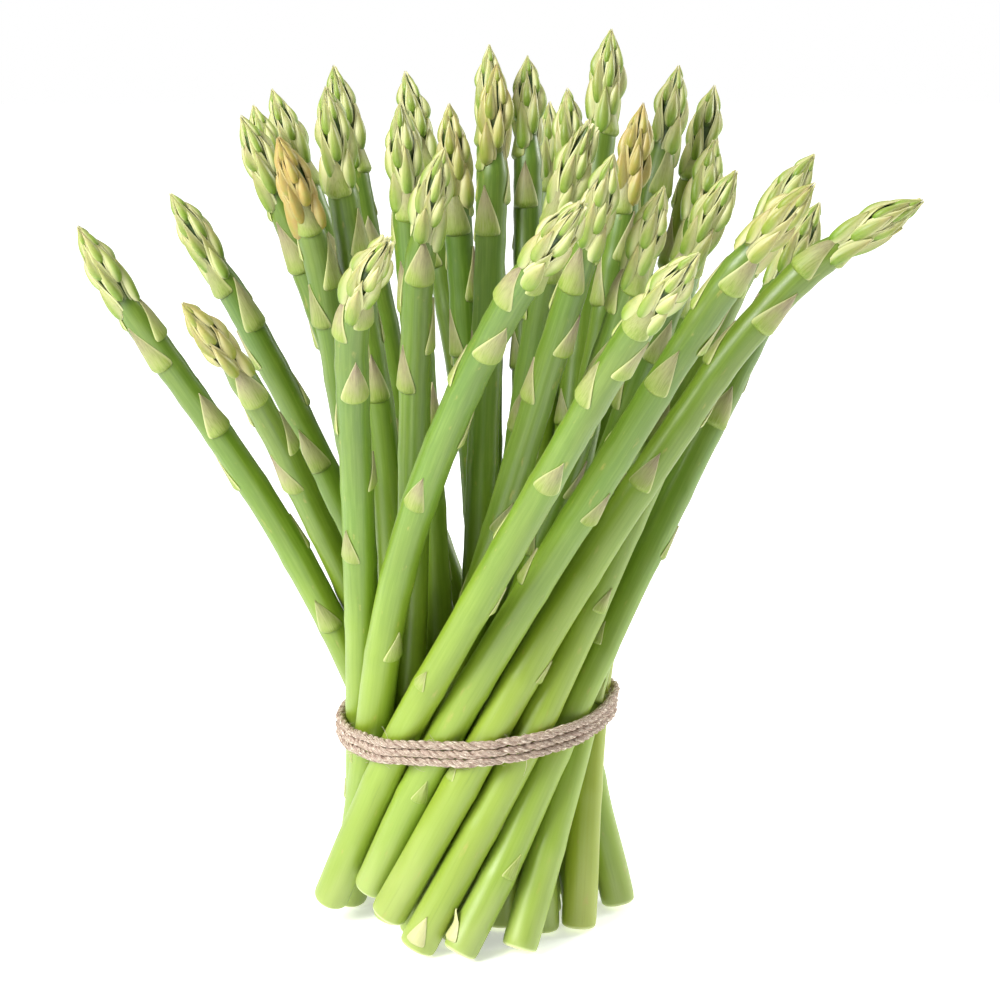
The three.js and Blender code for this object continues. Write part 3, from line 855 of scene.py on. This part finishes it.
def stem_material():
    """Smooth waxy green, light near the cut and darker towards the head, partly its own colour and partly
    painted shade on the upper stems, with fine lengthwise streaks and a few brownish marks. Painted shade
    darkens it between the bud scales, and it is pale on the rim of the cut."""
    graph = Graph("asparagus_stem")
    skin = graph.attribute("skin")
    height, depth, _ = graph.parts(graph.attribute("site"))
    _, _, tone = graph.parts(graph.attribute("look"))
    streaks = graph.noise(skin, (1.6, 1.6, 0.05), detail=4.0)
    patches = graph.noise(skin, (0.12, 0.12, 0.035), detail=2.0)
    grain = graph.noise(skin, (5.0, 5.0, 1.6), detail=2.0)
    # lighter near the cut and darker towards the head: partly the stem's own colour, partly painted shade on
    # the upper stems
    colour = graph.ramp(graph.moved(height, patches, 0.35), [
        (0.0, linear(158, 178, 86)),
        (0.1, linear(140, 168, 54)),
        (0.32, linear(134, 162, 36)),
        (0.52, linear(102, 138, 16)),
        (0.8, linear(80, 116, 10)),
        (1.0, linear(80, 112, 22)),
    ])
    yellow = graph.math("MULTIPLY", graph.math("SUBTRACT", tone, 0.75), 0.75, clamp=True)
    colour = graph.mix(yellow, colour, linear(164, 168, 22))
    colour = graph.mix(graph.ramp(streaks, [(0.42, 0.0), (0.75, 0.25)]), colour, linear(162, 186, 84))
    colour = graph.mix(graph.ramp(streaks, [(0.25, 0.22), (0.42, 0.0)]), colour, linear(74, 108, 8))
    colour = graph.mix(graph.ramp(patches, [(0.35, 0.0), (0.75, 0.3)]), colour, linear(132, 148, 34))
    marks = graph.noise(skin, (0.5, 0.5, 0.16), detail=3.0)
    colour = graph.mix(graph.ramp(marks, [(0.66, 0.0), (0.76, 0.5)]), colour, linear(176, 162, 78))
    # painted shade: dark green deep between the bud scales, under the outside of the head
    colour = graph.mix(graph.ramp(depth, [(0.2, 0.0), (0.7, 0.9)]), colour, linear(34, 64, 8))
    colour = graph.mix(graph.ramp(height, [(0.0018, 0.9), (0.0038, 0.0)]), colour, linear(228, 234, 178))
    roughness = graph.ramp(grain, [(0.3, 0.36), (0.7, 0.5)])
    normal = graph.bump(streaks, 0.04, 0.12)
    normal = graph.bump(grain, 0.02, 0.2, normal)
    return graph.finish(colour, roughness, normal, soft=0.08, specular=0.8)


def scale_material():
    """Papery scale leaves: green at the foot, beige above, mauve at the point, with a pale thin edge and
    a dark line of painted shade along the base. They are greener low on the stem and cream close to the cut."""
    graph = Graph("asparagus_scale")
    skin = graph.attribute("skin")
    along, edge, tone = graph.parts(graph.attribute("look"))
    height, _, _ = graph.parts(graph.attribute("site"))
    fibres = graph.noise(skin, (3.5, 3.5, 0.25), detail=3.0)
    patches = graph.noise(skin, (0.35, 0.35, 0.2), detail=2.0)
    colour = graph.ramp(graph.moved(along, patches, 0.5), [
        (0.0, linear(124, 154, 34)),
        (0.16, linear(146, 164, 70)),
        (0.42, linear(158, 157, 104)),
        (0.7, linear(152, 138, 110)),
        (1.0, linear(132, 110, 98)),
    ])
    colour = graph.mix(graph.math("MULTIPLY", tone, 0.5), colour, linear(126, 148, 58))
    colour = graph.mix(graph.ramp(height, [(0.3, 0.7), (0.6, 0.0)]), colour, linear(144, 170, 66))
    colour = graph.mix(graph.ramp(fibres, [(0.4, 0.0), (0.68, 0.35)]), colour, linear(184, 184, 124))
    colour = graph.mix(graph.ramp(fibres, [(0.32, 0.3), (0.46, 0.0)]), colour, linear(116, 124, 54))
    colour = graph.mix(graph.ramp(edge, [(0.8, 0.0), (0.97, 0.75)]), colour, linear(206, 208, 144))
    # painted shade: a dark line along the base of the scale, where it meets the stem
    colour = graph.mix(graph.ramp(along, [(0.0, 0.55), (0.05, 0.0)]), colour, linear(62, 84, 14))
    colour = graph.mix(graph.ramp(height, [(0.06, 0.6), (0.08, 0.0)]), colour, linear(222, 214, 166))
    roughness = graph.ramp(fibres, [(0.3, 0.42), (0.7, 0.6)])
    normal = graph.bump(fibres, 0.14, 0.5)
    return graph.finish(colour, roughness, normal, soft=0.12)


def bract_material():
    """Bud scales: dark green feet, yellow-green faces, pale rims and a warmer point. They are rusty on
    the brown heads, and painted shade darkens them deep inside the head."""
    graph = Graph("asparagus_bud")
    skin = graph.attribute("skin")
    along, edge, tone = graph.parts(graph.attribute("look"))
    _, depth, brown = graph.parts(graph.attribute("site"))
    fibres = graph.noise(skin, (3.2, 3.2, 0.35), detail=3.0)
    patches = graph.noise(skin, (0.5, 0.5, 0.3), detail=2.0)
    colour = graph.ramp(graph.moved(along, patches, 0.4), [
        (0.0, linear(96, 130, 24)),
        (0.2, linear(132, 158, 54)),
        (0.5, linear(156, 166, 84)),
        (0.85, linear(178, 168, 112)),
        (1.0, linear(172, 152, 108)),
    ])
    colour = graph.mix(graph.math("MULTIPLY", tone, 0.45), colour, linear(116, 150, 44))
    colour = graph.mix(graph.ramp(fibres, [(0.32, 0.4), (0.48, 0.0)]), colour, linear(98, 126, 30))
    colour = graph.mix(graph.ramp(edge, [(0.4, 0.0), (0.92, 0.85)]), colour, linear(220, 218, 164))
    rusty = graph.math("MULTIPLY", brown, graph.ramp(patches, [(0.3, 0.5), (0.6, 0.9)]), clamp=True)
    colour = graph.mix(rusty, colour, linear(184, 146, 70))
    # painted shade: dark green on bud scales deep under the outside of the head
    colour = graph.mix(graph.ramp(depth, [(0.2, 0.0), (0.7, 0.92)]), colour, linear(30, 56, 6))
    roughness = graph.ramp(fibres, [(0.3, 0.36), (0.7, 0.52)])
    normal = graph.bump(fibres, 0.08, 0.3)
    return graph.finish(colour, roughness, normal, soft=0.12)


def cut_material():
    """The cut face: pale moist flesh with darker fibre ends and a greener ring under the skin."""
    graph = Graph("asparagus_cut")
    skin = graph.attribute("skin")
    out, _, _ = graph.parts(graph.attribute("look"))
    dots = graph.noise(skin, (2.2, 2.2, 0.1), detail=1.0)
    mottle = graph.noise(skin, (0.5, 0.5, 0.1), detail=2.0)
    colour = graph.ramp(out, [
        (0.0, linear(226, 232, 186)),
        (0.7, linear(216, 226, 164)),
        (0.86, linear(180, 208, 110)),
        (1.0, linear(222, 230, 176)),
    ])
    colour = graph.mix(graph.ramp(dots, [(0.58, 0.0), (0.66, 0.6)]), colour, linear(176, 190, 112))
    colour = graph.mix(graph.ramp(mottle, [(0.45, 0.0), (0.7, 0.35)]), colour, linear(204, 190, 140))
    roughness = graph.ramp(dots, [(0.4, 0.35), (0.7, 0.6)])
    return graph.finish(colour, roughness, graph.bump(dots, 0.2, 0.5), soft=0.2)


def twine_material():
    """Natural plied fibre: beige with a mauve cast, lighter strands on top and dark between."""
    graph = Graph("twine_fibre_look")
    skin = graph.attribute("skin")
    _, loose, tone = graph.parts(graph.attribute("look"))
    strands = graph.noise(skin, (4.0, 1.0, 0.9), detail=4.0, roughness=0.65)
    patches = graph.noise(skin, (0.3, 1.0, 0.12), detail=2.0)
    colour = graph.ramp(strands, [
        (0.36, linear(84, 62, 50)),
        (0.45, linear(150, 126, 110)),
        (0.53, linear(200, 182, 162)),
        (0.61, linear(250, 242, 224)),
    ])
    colour = graph.mix(graph.ramp(patches, [(0.4, 0.0), (0.7, 0.5)]), colour, linear(180, 152, 142))
    colour = graph.mix(graph.math("MULTIPLY", loose, 0.6), colour, linear(222, 208, 186))
    roughness = graph.ramp(strands, [(0.3, 0.8), (0.7, 0.95)])
    return graph.finish(colour, roughness, graph.bump(strands, 0.25, 0.8), specular=0.2)


def floor_material():
    """Smooth white studio paper with the faintest mottle."""
    graph = Graph("studio_paper")
    coordinates = graph.node("ShaderNodeTexCoord").outputs["Object"]
    mottle = graph.noise(coordinates, (6.0, 6.0, 6.0), detail=2.0)
    colour = graph.ramp(mottle, [(0.3, linear(249, 251, 250)), (0.7, linear(252, 253, 253))])
    graph.shader.inputs["Emission Color"].default_value = (1.0, 1.0, 1.0, 1.0)
    graph.shader.inputs["Emission Strength"].default_value = FLOOR_GLOW
    return graph.finish(colour, 0.55, graph.bump(mottle, 0.02, 0.1), specular=0.2)


# ---------------------------------------------------------------- studio

def aimed(thing, place, target):
    thing.location = place
    thing.rotation_euler = (target - place).to_track_quat("-Z", "Y").to_euler()
    bpy.context.scene.collection.objects.link(thing)


def make_camera(middle):
    camera = bpy.data.cameras.new("camera")
    camera.lens = CAMERA_LENS
    camera.sensor_width = CAMERA_SENSOR
    camera.clip_start = CAMERA_NEAREST
    camera.clip_end = CAMERA_FURTHEST
    thing = bpy.data.objects.new("camera", camera)
    target = middle + AIM_OFFSET
    away = Vector((0, -math.cos(CAMERA_HEIGHT_ANGLE), math.sin(CAMERA_HEIGHT_ANGLE)))
    aimed(thing, target + CAMERA_DISTANCE * away, target)
    bpy.context.scene.camera = thing


def softbox(name, place, target, size, power):
    light = bpy.data.lights.new(name, "AREA")
    light.shape = "SQUARE"
    light.size = size
    light.energy = power
    aimed(bpy.data.objects.new(name, light), Vector(place), target)


def make_backdrop():
    """A white world that lights the bundle less than the camera sees of it."""
    world = bpy.data.worlds.new("white_studio")
    bpy.context.scene.world = world
    world.use_nodes = True
    tree = world.node_tree
    background = tree.nodes["Background"]
    background.inputs["Color"].default_value = (1.0, 1.0, 1.0, 1.0)
    seen = tree.nodes.new("ShaderNodeLightPath")
    strength = tree.nodes.new("ShaderNodeMapRange")
    strength.inputs["To Min"].default_value = AMBIENT_STRENGTH
    strength.inputs["To Max"].default_value = 1.0
    tree.links.new(seen.outputs["Is Camera Ray"], strength.inputs["Value"])
    tree.links.new(strength.outputs["Result"], background.inputs["Strength"])


def make_floor():
    half = FLOOR_HALF_SIZE
    mesh = bpy.data.meshes.new("studio_floor")
    corners = [(-half, -half, 0), (half, -half, 0), (half, half, 0), (-half, half, 0)]
    mesh.from_pydata(corners, [], [(0, 1, 2, 3)])
    mesh.materials.append(floor_material())
    floor = bpy.data.objects.new("studio_floor", mesh)
    bpy.context.scene.collection.objects.link(floor)


def make_studio(middle):
    make_camera(middle)
    make_backdrop()
    for name, (place, size, power) in SOFTBOXES.items():
        softbox(name, place, middle, size, power)
    make_floor()
    bpy.context.scene.view_settings.view_transform = "Standard"
    bpy.context.scene.view_settings.look = "None"


middle_of_bundle = (Vector(CAD_BOUNDS[0]) + Vector(CAD_BOUNDS[1])) / 2
make_studio(middle_of_bundle)
spear_materials = [stem_material(), scale_material(), bract_material(), cut_material()]
all_spears = [make_spear(node, spear_materials) for node in NODES]
make_twine(all_spears, twine_material())
